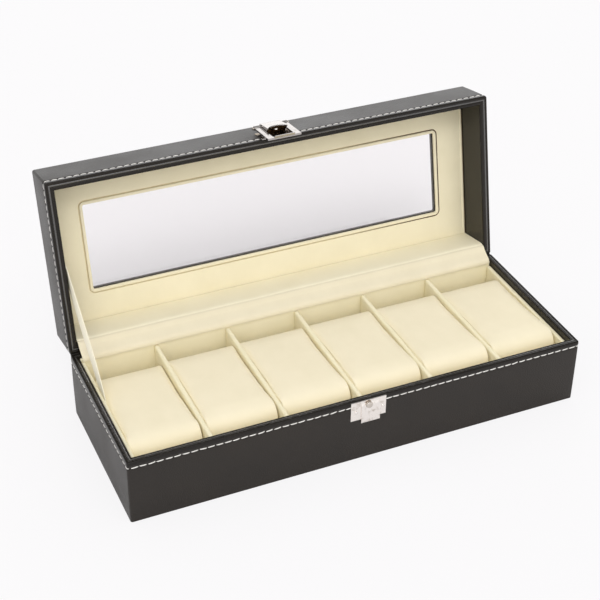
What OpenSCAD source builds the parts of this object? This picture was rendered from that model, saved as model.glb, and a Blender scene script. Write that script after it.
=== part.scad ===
// Watch box with a windowed lid, six compartments and six pillows.
// X runs along the length, the front is at -Y, and the underside lies on z = 0.
// The lid is drawn closed, and on_lid() then turns it open about the hinge line.

/* [Box] */
// Length over the leather
box_l = 300; // [270:1:340]
// Width over the leather, front to back
box_w = 112; // [104:1:130]
// Height of the base up to its rim
base_h = 45.3; // [42:0.1:60]
// Depth of the lid, from its rim to the top of the panel
lid_h = 31.5; // [26:0.5:45]
// Angle that the lid stands open, where the ribbon stops it
lid_open = 102; // [95:1:110]
// Gap between the two rims when the lid is shut
rim_gap = 0.4; // [0.3:0.1:1]

/* [Walls] */
// Thickness of the base's side boards
board_t = 2.6; // [2.2:0.1:4]
// Thickness of the lid's side boards, which carry no liners
lid_board_t = 3.7; // [2.6:0.1:5]
// Thickness of the bottom board
bottom_t = 3; // [2:0.5:4]
// Thickness of the cloth under the base
felt_t = 1; // [0.8:0.1:1.5]

/* [Leather] */
// Thickness of the leather on the outer faces
skin_t = 1; // [0.8:0.1:1.2]
// Thickness of the leather turned inside the rim
turn_t = 0.8; // [0.6:0.1:1]
// Depth of the turned leather inside the base
turn_in = 13; // [8:1:18]
// Radius of the upright corners
corner_r = 1.4; // [1.4:0.1:3]
// Radius of the rim's outer edge
rim_r = 1; // [0.8:0.1:1.2]

/* [Top panel and window] */
// Thickness of the top panel with its leather
panel_t = 4.3; // [3.6:0.1:5]
// Radius of the top panel's outer edge
panel_edge_r = 0.6; // [0.3:0.1:1.2]
// Length of the window
window_l = 246.5; // [200:0.5:252]
// Width of the window
window_w = 56.2; // [40:0.2:62]
// How far the window's middle lies behind the middle of the lid
window_y = -0.9; // [-4:0.1:4]
// Radius of the window's corners
window_r = 2.5; // [1.5:0.5:4]
// Thickness of the glass
glass_t = 1.5; // [1.2:0.1:2]
// How far the glass is held outside the window
glass_lap = 4; // [3:0.5:6]
// Thickness of the cream mat under the glass
mat_t = 1.2; // [1:0.1:2]
// Width of the bevel round the mat's window
mat_bevel = 1.8; // [1:0.1:2.5]
// How far the mat's edge lies back from the window's cut edge
mat_back = 0.5; // [0:0.1:1.5]

/* [Inside] */
// Thickness of the padded liners on the base walls
liner_t = 2.6; // [2:0.1:3.5]
// How far the liners stop below the rim
liner_drop = 2.3; // [1.5:0.1:5]
// Thickness of the lined card on the floor
floor_t = 1.2; // [1:0.1:2]
// Thickness of a divider
divider_t = 2.9; // [2:0.1:4]
// How far the dividers stop below the rim
divider_drop = 2.7; // [2:0.1:8]
// Thickness of the card lining the back wall of the lid
lid_lining_t = 1; // [0.8:0.1:1.5]

/* [Pillows] */
// Gap between a pillow's flat end and the wall of its compartment
pillow_gap = 0.7; // [0.4:0.1:1.5]
// Gap in front of the pillow
pillow_front_gap = 7; // [5:0.1:9]
// Gap behind the pillow, where a finger lifts it
pillow_back_gap = 9; // [6:0.1:12]
// How far the pillow's highest line stops below the rim
pillow_drop = 1.3; // [1:0.1:6]
// How much lower the pillow's back is than its front
pillow_slope = 2.5; // [0:0.5:5]
// Radius of the pillow's front nose
pillow_nose_r = 12; // [8:1:15]
// Radius of the pillow's back and lower edges
pillow_edge_r = 9; // [6:1:12]

/* [Hinge] */
// Thickness of the leather strip behind the hinge
strip_t = 0.6; // [0.4:0.1:1]
// How far the leather strip is glued on each side of the hinge line
strip_reach = 12; // [8:1:20]
// Thickness of the lining cloth over the hinge
cloth_t = 0.8; // [0.6:0.1:1]
// How far the lining cloth is glued along the lid's back wall
cloth_reach = 6; // [4:0.5:8]

/* [Ribbon] */
// Width of the ribbon that stops the lid
ribbon_w = 9; // [6:0.5:12]
// Thickness of the ribbon
ribbon_t = 0.4; // [0.3:0.1:0.5]
// How far behind the middle of the box the ribbon is glued to the base
ribbon_base_y = 7; // [0:1:14]
// How far the ribbon's glued end reaches below the rim of the base
ribbon_base_drop = 15; // [12:1:20]
// How far behind the middle of the lid the ribbon is glued to the lid
ribbon_lid_y = 0; // [-5:1:6]
// How far inside the lid's rim the ribbon's glued end reaches
ribbon_lid_depth = 16; // [12:1:18]
// How far the middle of the ribbon hangs below a straight line
ribbon_sag = 5; // [0:0.5:8]

/* [Latch] */
// Place of the latch along the front, from the middle
latch_x = 1.5; // [-20:0.5:20]
// Width of the latch plate and of the keeper
plate_w = 23.4; // [20:0.2:26]
// Thickness of the stamped plates
plate_t = 0.8; // [0.6:0.1:1]
// Height of the latch plate's wings
wing_h = 13.4; // [12:0.2:14.4]
// Height of the keeper's wings
keeper_h = 13.4; // [12:0.2:15]
// Distance of the keeper's upper edge below the rim
keeper_drop = 0.5; // [0.3:0.1:2]
// Width of the keeper's tongue
tongue_w = 12.6; // [11:0.2:13]
// How far the tongue's middle lies to the right of the stud
tongue_x = 1.4; // [-2:0.1:2]
// How far the tongue reaches below the wings
tongue_drop = 3; // [1:0.5:4]
// How far the tongue stands out from the wings
tongue_out = 0.6; // [0.4:0.1:1.2]
// Radius of the catch stud's shank
stud_r = 2.2; // [1.4:0.1:2.4]
// How far the catch stud's head stands out past the tongue
stud_out = 1.5; // [1:0.1:1.8]
// Width of the bail over its rails
bail_w = 22.5; // [21:0.1:24]
// Width of the bail's side rails
rail_w = 4.2; // [3:0.1:4.6]
// Thickness of the bail
bail_t = 1.3; // [1.1:0.1:1.8]
// Length of the bail from its pin to its tip
bail_l = 23.6; // [21:0.2:25]
// Width of the bail's front bar
bar_w = 1.6; // [1.4:0.1:3]
// Radius of the pin
pin_r = 0.6; // [0.5:0.05:0.8]
// Distance of the pin from the leather
pin_out = 3.9; // [3.7:0.1:5]
// Distance of the pin above the lid's rim
pin_rise = 15; // [13:0.2:17]
// How far the hood reaches below the pin
hood_drop = 12.3; // [10:0.1:13]
// Height of the arch cut in the hood's lower edge
arch_rise = 3.9; // [2:0.1:5]
// Radius of the spring's wire
wire_r = 0.3; // [0.2:0.05:0.35]
// Number of turns in the spring
spring_turns = 9; // [6:1:12]
// Radius of a nail's head
nail_r = 1.1; // [0.8:0.1:1.3]
// Height of a nail's head
nail_h = 0.5; // [0.3:0.1:0.6]
// Running clearance round the pin
pin_play = 0.05; // [0.03:0.01:0.08]
// Clearance between pieces that pass each other
clear = 0.3; // [0.2:0.05:0.5]

/* [Hidden] */
$fn = 48;
// Steps in a rounded outline's quarter turn
arc_steps = 6;

// The base's walls, from the outer leather to the inner face
wall_t = skin_t + board_t + turn_t;
inner_l = box_l - 2 * wall_t;
inner_w = box_w - 2 * wall_t;

// The lid's walls
lid_wall_t = skin_t + lid_board_t + turn_t;
lid_inner_l = box_l - 2 * lid_wall_t;
lid_inner_w = box_w - 2 * lid_wall_t;

// How far the boards' corners are eased, and how far the cloth underneath stops
// short of the leather
corner_ease = 0.2;
felt_inset = 0.5;
// Where the base's leather is trimmed, above the table
leather_foot = 0.3;

// Levels in the base
board_z = felt_t;
floor_z = board_z + bottom_t;
inside_z = floor_z + floor_t;
board_top = base_h - turn_t;
liner_top = base_h - liner_drop;
divider_top = base_h - divider_drop;
// Room above the back liner for the fold of the hinge lining
fold_drop = 0.7;
// Thickness of the glue under the hinge strip, the lining cloth and the ribbon
glue_t = 0.03;

// The room inside the liners, and its compartments
cells = 6;
room_l = inner_l - 2 * liner_t;
room_w = inner_w - 2 * liner_t;
cell_l = (room_l - (cells - 1) * divider_t) / cells;
cell_pitch = cell_l + divider_t;

// Levels in the closed lid
lid_z = base_h + rim_gap;
hinge_z = base_h + rim_gap / 2;
lid_top = base_h + lid_h;
panel_z = lid_top - panel_t;
mat_z = panel_z - mat_t;
lid_wall_h = panel_z - lid_z;

// A pillow, in its compartment
pillow_l = cell_l - 2 * pillow_gap;
pillow_y0 = -room_w / 2 + pillow_front_gap;
pillow_y1 = room_w / 2 - pillow_back_gap;
pillow_z0 = inside_z + 0.3;
pillow_z1 = base_h - pillow_drop;

// The latch, measured from the front face of the leather
front_y = -box_w / 2;
plate_y = front_y - plate_t;
pin_y = front_y - pin_out;
pin_z = lid_z + pin_rise;
plate_lift = 0.6;
knuckle_r = bail_t / 2 + 0.9;
rail_in = bail_w / 2 - rail_w;
bail_tilt = atan((pin_out - bail_t / 2 - plate_t - tongue_out - clear) / bail_l);
bar_z = pin_z - bail_l * cos(bail_tilt) + bar_w;
pin_l = bail_w + 1;
head_r = pin_r + 0.5;
head_t = 0.5;
pin_fit = 0.02;

// The hood and its two ears, between the rails
ear_t = 0.9;
ear_out = rail_in - clear;
ear_drop = 6;
hood_t = 0.6;
hood_r = pin_r + 2 * wire_r + 0.45;
hood_out = hood_r + hood_t;
arch_half = ear_out - ear_t / 2;
arch_r = (arch_half * arch_half + arch_rise * arch_rise) / (2 * arch_rise);
spring_r = pin_r + pin_play + wire_r;
spring_l = 2 * (ear_out - ear_t) - 1;

// The keeper, its tongue, and the stud above the closed bail's bar
tongue_y = plate_y - tongue_out;
keeper_top = base_h - keeper_drop;
keeper_z = keeper_top - keeper_h;
step_drop = 3.2;
step_h = 1.6;
stud_gap = 1;
stud_z = bar_z + stud_gap + stud_r;
shank_r = stud_r * 0.6;

// Colours
LEATHER = [0.13, 0.12, 0.115];
BOARD = [0.72, 0.6, 0.43];
CREAM = [0.95, 0.91, 0.79];
PILLOW = [0.96, 0.93, 0.82];
STEEL = [0.8, 0.8, 0.8];
FELT = [0.1, 0.1, 0.1];

// Points along an arc, from angle a0 to a1
function arc(cx, cy, r, a0, a1) = [
    for (i = [0:arc_steps])
        let (a = a0 + (a1 - a0) * i / arc_steps)
        [cx + r * cos(a), cy + r * sin(a)]
];

// Turns a piece of the closed lid to where the open lid holds it
module on_lid() {
    translate([0, box_w / 2, hinge_z])
        rotate([-lid_open, 0, 0])
        translate([0, -box_w / 2, -hinge_z])
        children();
}

// Stands a profile drawn in (y, z) up and extrudes it along X, centred on x
module along_x(length, x = 0) {
    translate([x - length / 2, 0, 0])
        rotate([90, 0, 90])
        linear_extrude(length)
        children();
}

// A rectangle with round corners, centred
module round_rect(l, w, r) {
    square([l - 2 * r, w], center = true);
    square([l, w - 2 * r], center = true);
    for (sx = [-1, 1], sy = [-1, 1])
        translate([sx * (l / 2 - r), sy * (w / 2 - r)]) circle(r);
}

// Carries a profile of (depth from the outer face, z) round a rectangle with
// round corners: four straight runs and four quarter turns
module sweep_round(l, w, r, profile) {
    outline = [for (p = profile) [r - p[0], p[1]]];
    runs = [[l, w, 0], [w, l, 90], [l, w, 180], [w, l, 270]];
    for (run = runs)
        rotate([0, 0, run[2]])
        translate([run[0] / 2 - r, -run[1] / 2 + r, 0]) {
            rotate([90, 0, -90])
                linear_extrude(run[0] - 2 * r)
                polygon(outline);
            rotate([0, 0, -90])
                rotate_extrude(angle = 90)
                polygon(outline);
        }
}

// The leather on four walls: outer face, round rim, and the part turned inside
// walls of thickness t. It stands with its rim up at height h.
module wall_leather(h, foot, turned, t) {
    room = [box_l - 2 * t, box_w - 2 * t];
    sweep_round(box_l, box_w, corner_r, concat(
        [[rim_r, foot], [0, foot]],
        arc(rim_r, h - rim_r, rim_r, 180, 90)
    ));
    translate([0, 0, h - turn_t])
        linear_extrude(turn_t)
        difference() {
            inside_leather();
            square(room, center = true);
        }
    translate([0, 0, h - turned])
        linear_extrude(turned)
        difference() {
            square([room[0] + 2 * turn_t, room[1] + 2 * turn_t], center = true);
            square(room, center = true);
        }
}

// Outline of what lies inside the outer leather
module inside_leather(back = 0, ease = 0) {
    cut = 2 * (rim_r + back);
    round_rect(box_l - cut, box_w - cut, corner_r - rim_r + ease);
}

// One board of walls of thickness t; side is 0 front, 1 back, 2 left, 3 right
module wall_board(side, z0, z1, t) {
    mid_l = box_l - 2 * (t - turn_t);
    mid_w = box_w - 2 * (t - turn_t);
    big = box_l;
    translate([0, 0, z0])
        linear_extrude(z1 - z0)
        intersection() {
            inside_leather(ease = corner_ease);
            if (side == 0) translate([-big / 2, -big - mid_w / 2]) square(big);
            if (side == 1) translate([-big / 2, mid_w / 2]) square(big);
            if (side == 2) translate([-big - mid_l / 2, -mid_w / 2]) square([big, mid_w]);
            if (side == 3) translate([mid_l / 2, -mid_w / 2]) square([big, mid_w]);
        }
}

module base_felt() {
    color(FELT)
        linear_extrude(felt_t)
        inside_leather(felt_inset);
}

module base_bottom_board() {
    l = box_l - 2 * (wall_t - turn_t);
    w = box_w - 2 * (wall_t - turn_t);
    color(BOARD)
        translate([-l / 2, -w / 2, board_z])
        cube([l, w, bottom_t]);
}

module base_front_board() {
    color(BOARD) wall_board(0, board_z, board_top, wall_t);
}

module base_back_board() {
    color(BOARD) wall_board(1, board_z, board_top, wall_t);
}

module base_left_board() {
    color(BOARD) wall_board(2, board_z, board_top, wall_t);
}

module base_right_board() {
    color(BOARD) wall_board(3, board_z, board_top, wall_t);
}

module base_leather() {
    color(LEATHER) wall_leather(base_h, leather_foot, turn_in, wall_t);
}

module floor_card() {
    color(CREAM)
        translate([-inner_l / 2, -inner_w / 2, floor_z])
        cube([inner_l, inner_w, floor_t]);
}

module front_liner() {
    color(CREAM)
        translate([-inner_l / 2, -inner_w / 2, inside_z])
        cube([inner_l, liner_t, liner_top - inside_z]);
}

// The back liner stops just below the rim, where the hinge lining is folded over it
module back_liner() {
    color(CREAM)
        translate([-inner_l / 2, inner_w / 2 - liner_t, inside_z])
        cube([inner_l, liner_t, base_h - fold_drop - inside_z]);
}

module left_liner() {
    color(CREAM)
        translate([-inner_l / 2, -room_w / 2, inside_z])
        cube([liner_t, room_w, liner_top - inside_z]);
}

module right_liner() {
    color(CREAM)
        translate([inner_l / 2 - liner_t, -room_w / 2, inside_z])
        cube([liner_t, room_w, liner_top - inside_z]);
}

// A lined card across the box; its upper edge is rounded
module divider(i) {
    x = -room_l / 2 + i * cell_pitch - divider_t / 2;
    r = divider_t / 2;
    color(CREAM)
        translate([x, room_w / 2, 0])
        rotate([90, 0, 0])
        linear_extrude(room_w)
        polygon(concat(
            [[-r, inside_z], [r, inside_z]],
            arc(0, divider_top - r, r, 0, 180)
        ));
}

// A pillow: one outline with four round corners, and flat ends
module pillow(i) {
    x = -room_l / 2 + (i - 0.5) * cell_l + (i - 1) * divider_t;
    e = pillow_edge_r;
    n = pillow_nose_r;
    back_z = pillow_z1 - pillow_slope;
    color(PILLOW)
        along_x(pillow_l, x)
        polygon(concat(
            arc(pillow_y0 + e, pillow_z0 + e, e, 180, 270),
            arc(pillow_y1 - e, pillow_z0 + e, e, 270, 360),
            arc(pillow_y1 - e, back_z - e, e, 0, 90),
            arc(pillow_y0 + n, pillow_z1 - n, n, 90, 180)
        ));
}

// The keeper: two wings on the leather, and a tongue that stands out between them
module keeper_plate() {
    step_z = keeper_top - step_drop;
    low_z = keeper_z - tongue_drop;
    turn = tongue_out / 2;
    color(STEEL)
        difference() {
            union() {
                translate([latch_x - plate_w / 2, plate_y, keeper_z])
                    cube([plate_w, plate_t, keeper_h]);
                along_x(tongue_w, latch_x + tongue_x)
                    polygon([
                        [front_y, step_z + step_h],
                        [plate_y, step_z + step_h],
                        [tongue_y, step_z],
                        [tongue_y, low_z + plate_t],
                        [tongue_y + turn, low_z],
                        [tongue_y + turn + plate_t, low_z],
                        [tongue_y + plate_t, low_z + plate_t],
                        [tongue_y + plate_t, step_z - plate_t / 2],
                        [front_y, step_z + step_h - plate_t]
                    ]);
            }
            stud_hole();
            for (s = [-1, 1]) keeper_nail_hole(s);
        }
}

module stud_hole() {
    translate([latch_x, front_y + plate_t, stud_z])
        rotate([90, 0, 0])
        cylinder(h = 3 * plate_t + tongue_out, r = shank_r);
}

// Places a nail through the middle of one of the keeper's wings
module at_keeper_nail(s) {
    x = (tongue_x + s * (plate_w + tongue_w) / 2) / 2;
    translate([latch_x + x, plate_y, keeper_z + keeper_h * 0.45])
        rotate([90, 0, 0])
        children();
}

module keeper_nail_hole(s) {
    at_keeper_nail(s) translate([0, 0, -plate_t - 1]) cylinder(h = plate_t + 2, r = nail_r * 0.5);
}

// A nail with a low domed head; its shank goes through the plate
module nail() {
    rotate_extrude()
        polygon([
            [0, -plate_t], [nail_r * 0.5, -plate_t], [nail_r * 0.5, 0],
            [nail_r, 0], [nail_r, nail_h * 0.4], [nail_r * 0.6, nail_h * 0.85], [0, nail_h]
        ]);
}

module keeper_nails() {
    color(STEEL) for (s = [-1, 1]) at_keeper_nail(s) nail();
}

// The stud that the bail's front bar springs under
module keeper_stud() {
    seat = plate_t + tongue_out;
    depth = seat + stud_out;
    edge = stud_out / 2;
    color(STEEL)
        translate([latch_x, front_y, stud_z])
        rotate([90, 0, 0])
        rotate_extrude()
        polygon([
            [0, 0], [shank_r, 0], [shank_r, seat], [stud_r, seat],
            [stud_r, depth - edge], [stud_r - edge / 3, depth - edge / 3],
            [stud_r - edge, depth - edge / 8], [0, depth]
        ]);
}

// The strip bent in the angle between the two back faces
module hinge_leather() {
    y0 = box_w / 2 + glue_t;
    y1 = y0 + strip_t;
    color(LEATHER)
        along_x(box_l - 2 * corner_r)
        polygon([
            [y0, hinge_z - strip_reach], mitre(glue_t),
            opened([y0, hinge_z + strip_reach]),
            opened([y1, hinge_z + strip_reach]),
            mitre(glue_t + strip_t), [y1, hinge_z - strip_reach]
        ]);
}

// Where two faces that lie d outside the two backs meet
function mitre(d) = opened([box_w / 2 + d, hinge_z + d * tan(lid_open / 2)]);

// A point of the closed lid's (y, z), where the open lid holds it
function opened(p) = [
    box_w / 2 + (p[0] - box_w / 2) * cos(lid_open) + (p[1] - hinge_z) * sin(lid_open),
    hinge_z - (p[0] - box_w / 2) * sin(lid_open) + (p[1] - hinge_z) * cos(lid_open)
];

// Direction of a route at point i, and the same route moved sideways by d
function heading(route, i) =
    let (
        a = route[max(i - 1, 0)],
        b = route[min(i + 1, len(route) - 1)]
    ) (b - a) / norm(b - a);
function beside(route, d) = [
    for (i = [0:len(route) - 1])
        let (h = heading(route, i)) route[i] + d * [-h[1], h[0]]
];

// The lining's route: up the back liner, over the rim, across the angle between
// the rims and on to the lid's lined back wall
lining_route = let (
    y0 = inner_w / 2 - liner_t - cloth_t / 2 - glue_t,
    y1 = lid_inner_w / 2 - lid_lining_t - cloth_t / 2 - glue_t,
    top = base_h + cloth_t / 2 + 0.1
) [
    [y0, liner_top + clear],
    [y0, base_h - 0.5],
    [y0 + 0.6, top],
    [inner_w / 2 + 1, top],
    opened([box_w / 2 - 2.4, lid_z - 2.2]),
    opened([lid_inner_w / 2 + 0.2, lid_z - cloth_t / 2 - 0.5]),
    opened([y1, lid_z + 0.2]),
    opened([y1, lid_z + cloth_reach])
];

module hinge_lining() {
    color(CREAM)
        along_x(min(inner_l, lid_inner_l) - 2 * clear)
        polygon(concat(
            beside(lining_route, cloth_t / 2),
            [for (i = [len(lining_route) - 1:-1:0])
                beside(lining_route, -cloth_t / 2)[i]]
        ));
}

// The ribbon's route as (x, y, z): flat on the liner, free, then flat in the lid
ribbon_base_x = -room_l / 2 + ribbon_t / 2 + glue_t;
ribbon_lid_x = -lid_inner_l / 2 + ribbon_t / 2 + glue_t;
ribbon_a = [ribbon_base_x, ribbon_base_y + 3, liner_top - 3];
ribbon_b = let (p = opened([ribbon_lid_y + 1, lid_z + 5])) [ribbon_lid_x, p[0], p[1]];
ribbon_end = let (p = opened([ribbon_lid_y, lid_z + ribbon_lid_depth])) [ribbon_lid_x, p[0], p[1]];
ribbon_steps = 8;
ribbon_route = concat(
    [[ribbon_base_x, ribbon_base_y - 5, base_h - ribbon_base_drop]],
    [for (i = [0:ribbon_steps])
        let (
            t = i / ribbon_steps,
            p = ribbon_a * (1 - t) + ribbon_b * t,
            sag = ribbon_sag * 4 * t * (1 - t) * 0.6,
            aside = max(0, (t - 0.3) / 0.7)
        )
        [
            ribbon_base_x + (ribbon_lid_x - ribbon_base_x) * aside,
            p[1] + sag / 2,
            p[2] - sag
        ]],
    [ribbon_end]
);

// A flat strip along the route: its width lies across the route, its thickness on X
module ribbon_stay() {
    n = len(ribbon_route);
    flat = [for (p = ribbon_route) [p[1], p[2]]];
    upper = beside(flat, ribbon_w / 2);
    lower = beside(flat, -ribbon_w / 2);
    points = [
        for (i = [0:n - 1])
            let (x = ribbon_route[i][0])
            each [
                [x - ribbon_t / 2, lower[i][0], lower[i][1]],
                [x + ribbon_t / 2, lower[i][0], lower[i][1]],
                [x + ribbon_t / 2, upper[i][0], upper[i][1]],
                [x - ribbon_t / 2, upper[i][0], upper[i][1]]
            ]
    ];
    sides = [
        for (i = [0:n - 2], k = [0:3])
            let (a = 4 * i + k, b = 4 * i + (k + 1) % 4)
            each [[a, b, b + 4], [a, b + 4, a + 4]]
    ];
    ends = [
        [0, 3, 2], [0, 2, 1],
        [4 * n - 4, 4 * n - 3, 4 * n - 2], [4 * n - 4, 4 * n - 2, 4 * n - 1]
    ];
    color(CREAM) polyhedron(points = points, faces = concat(sides, ends));
}

module lid_front_board() {
    color(BOARD) on_lid() wall_board(0, lid_z + turn_t, panel_z, lid_wall_t);
}

module lid_back_board() {
    color(BOARD) on_lid() wall_board(1, lid_z + turn_t, panel_z, lid_wall_t);
}

module lid_left_board() {
    color(BOARD) on_lid() wall_board(2, lid_z + turn_t, panel_z, lid_wall_t);
}

module lid_right_board() {
    color(BOARD) on_lid() wall_board(3, lid_z + turn_t, panel_z, lid_wall_t);
}

// The lid's leather is the same cover, rim down, turned in as far as the mat
module lid_leather() {
    color(LEATHER)
        on_lid()
        translate([0, 0, panel_z])
        mirror([0, 0, 1])
        wall_leather(lid_wall_h, 0, lid_wall_h - mat_t - clear, lid_wall_t);
}

module lid_back_lining() {
    l = lid_inner_l - 2 * clear;
    z = lid_z + turn_t;
    color(CREAM)
        on_lid()
        translate([-l / 2, lid_inner_w / 2 - lid_lining_t, z])
        cube([l, lid_lining_t, mat_z - z]);
}

// The top board, with the window and the rebate that the glass lies in
module top_board() {
    thick = panel_t - turn_t;
    color(BOARD)
        on_lid()
        translate([0, 0, panel_z])
        difference() {
            linear_extrude(thick)
                difference() {
                    inside_leather();
                    window_outline(turn_t);
                }
            translate([0, window_y, -glass_t])
                linear_extrude(2 * glass_t)
                square([window_l + 2 * glass_lap, window_w + 2 * glass_lap], center = true);
        }
}

// The window's outline, enlarged by more all round
module window_outline(more = 0) {
    translate([0, window_y])
        round_rect(window_l + 2 * more, window_w + 2 * more, window_r + more);
}

// Leather over the panel: outer edge, top face and the window's cut edge
module top_leather() {
    edge = min(panel_edge_r, rim_r - 0.1);
    color(LEATHER)
        on_lid()
        translate([0, 0, panel_z]) {
            sweep_round(box_l, box_w, corner_r, concat(
                [[rim_r, 0], [0, 0]],
                arc(edge, panel_t - edge, edge, 180, 90),
                [[rim_r, panel_t]]
            ));
            translate([0, 0, panel_t - turn_t])
                linear_extrude(turn_t)
                difference() {
                    inside_leather();
                    window_outline();
                }
            translate([0, 0, glass_t])
                linear_extrude(panel_t - glass_t)
                difference() {
                    window_outline(turn_t);
                    window_outline();
                }
        }
}

module window_glass() {
    l = window_l + 2 * glass_lap - clear;
    w = window_w + 2 * glass_lap - clear;
    color([0.85, 0.9, 0.92, 0.35])
        on_lid()
        translate([-l / 2, window_y - w / 2, panel_z])
        cube([l, w, glass_t]);
}

// A hole with sloped sides for the mat: four wedges and four cone corners
module bevel_hole(l, w, r, wide, h) {
    for (sx = [-1, 1], sy = [-1, 1])
        translate([sx * (l / 2 - r), sy * (w / 2 - r), 0])
        cylinder(h = h, r1 = r + wide, r2 = r);
    for (s = [-1, 1]) {
        rotate([90, 0, 90])
            translate([0, 0, -l / 2 + r])
            linear_extrude(l - 2 * r)
            polygon([[0, 0], [s * (w / 2 + wide), 0], [s * w / 2, h], [0, h]]);
        rotate([90, 0, 0])
            translate([0, 0, -w / 2 + r])
            linear_extrude(w - 2 * r)
            polygon([[0, 0], [s * (l / 2 + wide), 0], [s * l / 2, h], [0, h]]);
    }
}

module window_mat() {
    l = lid_inner_l - 2 * clear;
    w = lid_inner_w - 2 * clear;
    hole_l = window_l + 2 * mat_back;
    hole_w = window_w + 2 * mat_back;
    color(CREAM)
        on_lid()
        translate([0, 0, mat_z])
        difference() {
            translate([-l / 2, -w / 2, 0]) cube([l, w, mat_t]);
            translate([0, window_y, 0])
                bevel_hole(hole_l, hole_w, window_r + mat_back, mat_bevel, mat_t);
        }
}

// Moves a piece drawn round the pin to its place on the closed lid
module at_pin() {
    translate([latch_x, pin_y, pin_z]) children();
}

// The latch plate: wings nailed to the lid, and between the rails a neck, two
// ears for the pin and a hood that is curled over the spring
module latch_plate() {
    color(STEEL)
        on_lid() {
            difference() {
                translate([latch_x - plate_w / 2, plate_y, lid_z + plate_lift])
                    cube([plate_w, plate_t, wing_h]);
                for (s = [-1, 1]) latch_nail_hole(s);
            }
            at_pin()
                difference() {
                    union() {
                        translate([-ear_out, pin_out - plate_t, -ear_drop])
                            cube([2 * ear_out, plate_t, ear_drop + hood_out]);
                        for (s = [-1, 1])
                            along_x(ear_t, s * (ear_out - ear_t / 2))
                            polygon(ear_points());
                        along_x(2 * ear_out)
                            polygon(hood_points());
                    }
                    rotate([0, 90, 0])
                        cylinder(h = 2 * ear_out + 2, r = pin_r + pin_fit, center = true);
                    arch_cut();
                }
        }
}

// The hood's section, in (depth, height) from the pin: from the neck, over the
// spring, and flat down in front of it
function hood_points() = concat(
    [[pin_out, hood_out]],
    arc(0, 0, hood_out, 90, 180),
    [[-hood_out, -hood_drop], [-hood_r, -hood_drop]],
    arc(0, 0, hood_r, 180, 90),
    [[pin_out, hood_r]]
);

// An ear fills the hood's section, and its lower edge slants back to the plate
function ear_points() = concat(
    [[pin_out, hood_out]],
    arc(0, 0, hood_out, 90, 180),
    [[-hood_out, -hood_drop], [-hood_r, -hood_drop], [pin_out, -ear_drop]]
);

// The round bite out of the hood's lower edge
module arch_cut() {
    translate([0, -hood_r + clear, -hood_drop + arch_rise - arch_r])
        rotate([90, 0, 0])
        cylinder(h = hood_t + 2 * clear, r = arch_r);
}

// Places a nail through one of the latch plate's wings
module at_latch_nail(s) {
    x = latch_x + s * (rail_in + rail_w / 2);
    translate([x, plate_y, lid_z + plate_lift + wing_h * 0.3])
        rotate([90, 0, 0])
        children();
}

module latch_nail_hole(s) {
    at_latch_nail(s) translate([0, 0, -plate_t - 1]) cylinder(h = plate_t + 2, r = nail_r * 0.5);
}

module latch_nails() {
    color(STEEL) on_lid() for (s = [-1, 1]) at_latch_nail(s) nail();
}

// The pin, with a peened head at each end
module latch_pin() {
    color(STEEL)
        on_lid()
        at_pin()
        rotate([0, 90, 0]) {
            cylinder(h = pin_l, r = pin_r, center = true);
            for (s = [-1, 1])
                translate([0, 0, s * (pin_l + head_t) / 2])
                cylinder(h = head_t, r = head_r, center = true);
        }
}

// The torsion spring: a wound wire, its ring of points carried along a helix
module latch_spring() {
    ring = 6;
    steps = 14;
    n = spring_turns * steps + 1;
    points = [
        for (i = [0:n - 1])
            let (a = 360 * i / steps, x = -spring_l / 2 + spring_l * i / (n - 1))
            for (k = [0:ring - 1])
                let (b = 360 * k / ring, r = spring_r + wire_r * cos(b))
                [x + wire_r * sin(b), r * cos(a), r * sin(a)]
    ];
    sides = [
        for (i = [0:n - 2], k = [0:ring - 1])
            let (a = ring * i + k, b = ring * i + (k + 1) % ring)
            each [[a, b, b + ring], [a, b + ring, a + ring]]
    ];
    ends = [
        [for (k = [ring - 1:-1:0]) k],
        [for (k = [0:ring - 1]) ring * (n - 1) + k]
    ];
    color(STEEL)
        on_lid()
        at_pin()
        polyhedron(points = points, faces = concat(sides, ends), convexity = 4);
}

// The bail: two rails with knuckles on the pin, a front bar and its lifting lip.
// It is drawn hanging straight down from the pin, then tilted in to the tongue.
module latch_bail() {
    low = -bail_l;
    color(STEEL)
        on_lid()
        at_pin()
        rotate([bail_tilt, 0, 0])
        difference() {
            union() {
                for (s = [-1, 1])
                    along_x(rail_w, s * (rail_in + rail_w / 2))
                    union() {
                        circle(knuckle_r);
                        translate([-bail_t / 2, low]) square([bail_t, bail_l]);
                    }
                translate([-bail_w / 2, -bail_t / 2, low])
                    cube([bail_w, bail_t, bar_w]);
                along_x(bail_w * 0.6)
                    polygon([
                        [-bail_t / 2 - 1.2, low - 0.9],
                        [-bail_t / 2 - 1.2, low - 0.1],
                        [-bail_t / 2, low + 1.2],
                        [0, low + 0.6],
                        [0, low]
                    ]);
            }
            rotate([0, 90, 0])
                cylinder(h = bail_w + 2, r = pin_r + pin_play, center = true);
        }
}

base_felt();
base_bottom_board();
base_front_board();
base_back_board();
base_left_board();
base_right_board();
base_leather();
floor_card();
front_liner();
back_liner();
left_liner();
right_liner();
divider(1);  // divider_1
divider(2);  // divider_2
divider(3);  // divider_3
divider(4);  // divider_4
divider(5);  // divider_5
pillow(1);  // pillow_1
pillow(2);  // pillow_2
pillow(3);  // pillow_3
pillow(4);  // pillow_4
pillow(5);  // pillow_5
pillow(6);  // pillow_6
keeper_plate();
keeper_stud();
keeper_nails();
hinge_leather();
hinge_lining();
ribbon_stay();
lid_front_board();
lid_back_board();
lid_left_board();
lid_right_board();
lid_leather();
lid_back_lining();
top_board();
top_leather();
window_glass();
window_mat();
latch_plate();
latch_nails();
latch_pin();
latch_spring();
latch_bail();
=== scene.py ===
"""A leather watch box with a windowed lid, six compartments and six pillows."""

import math

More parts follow.
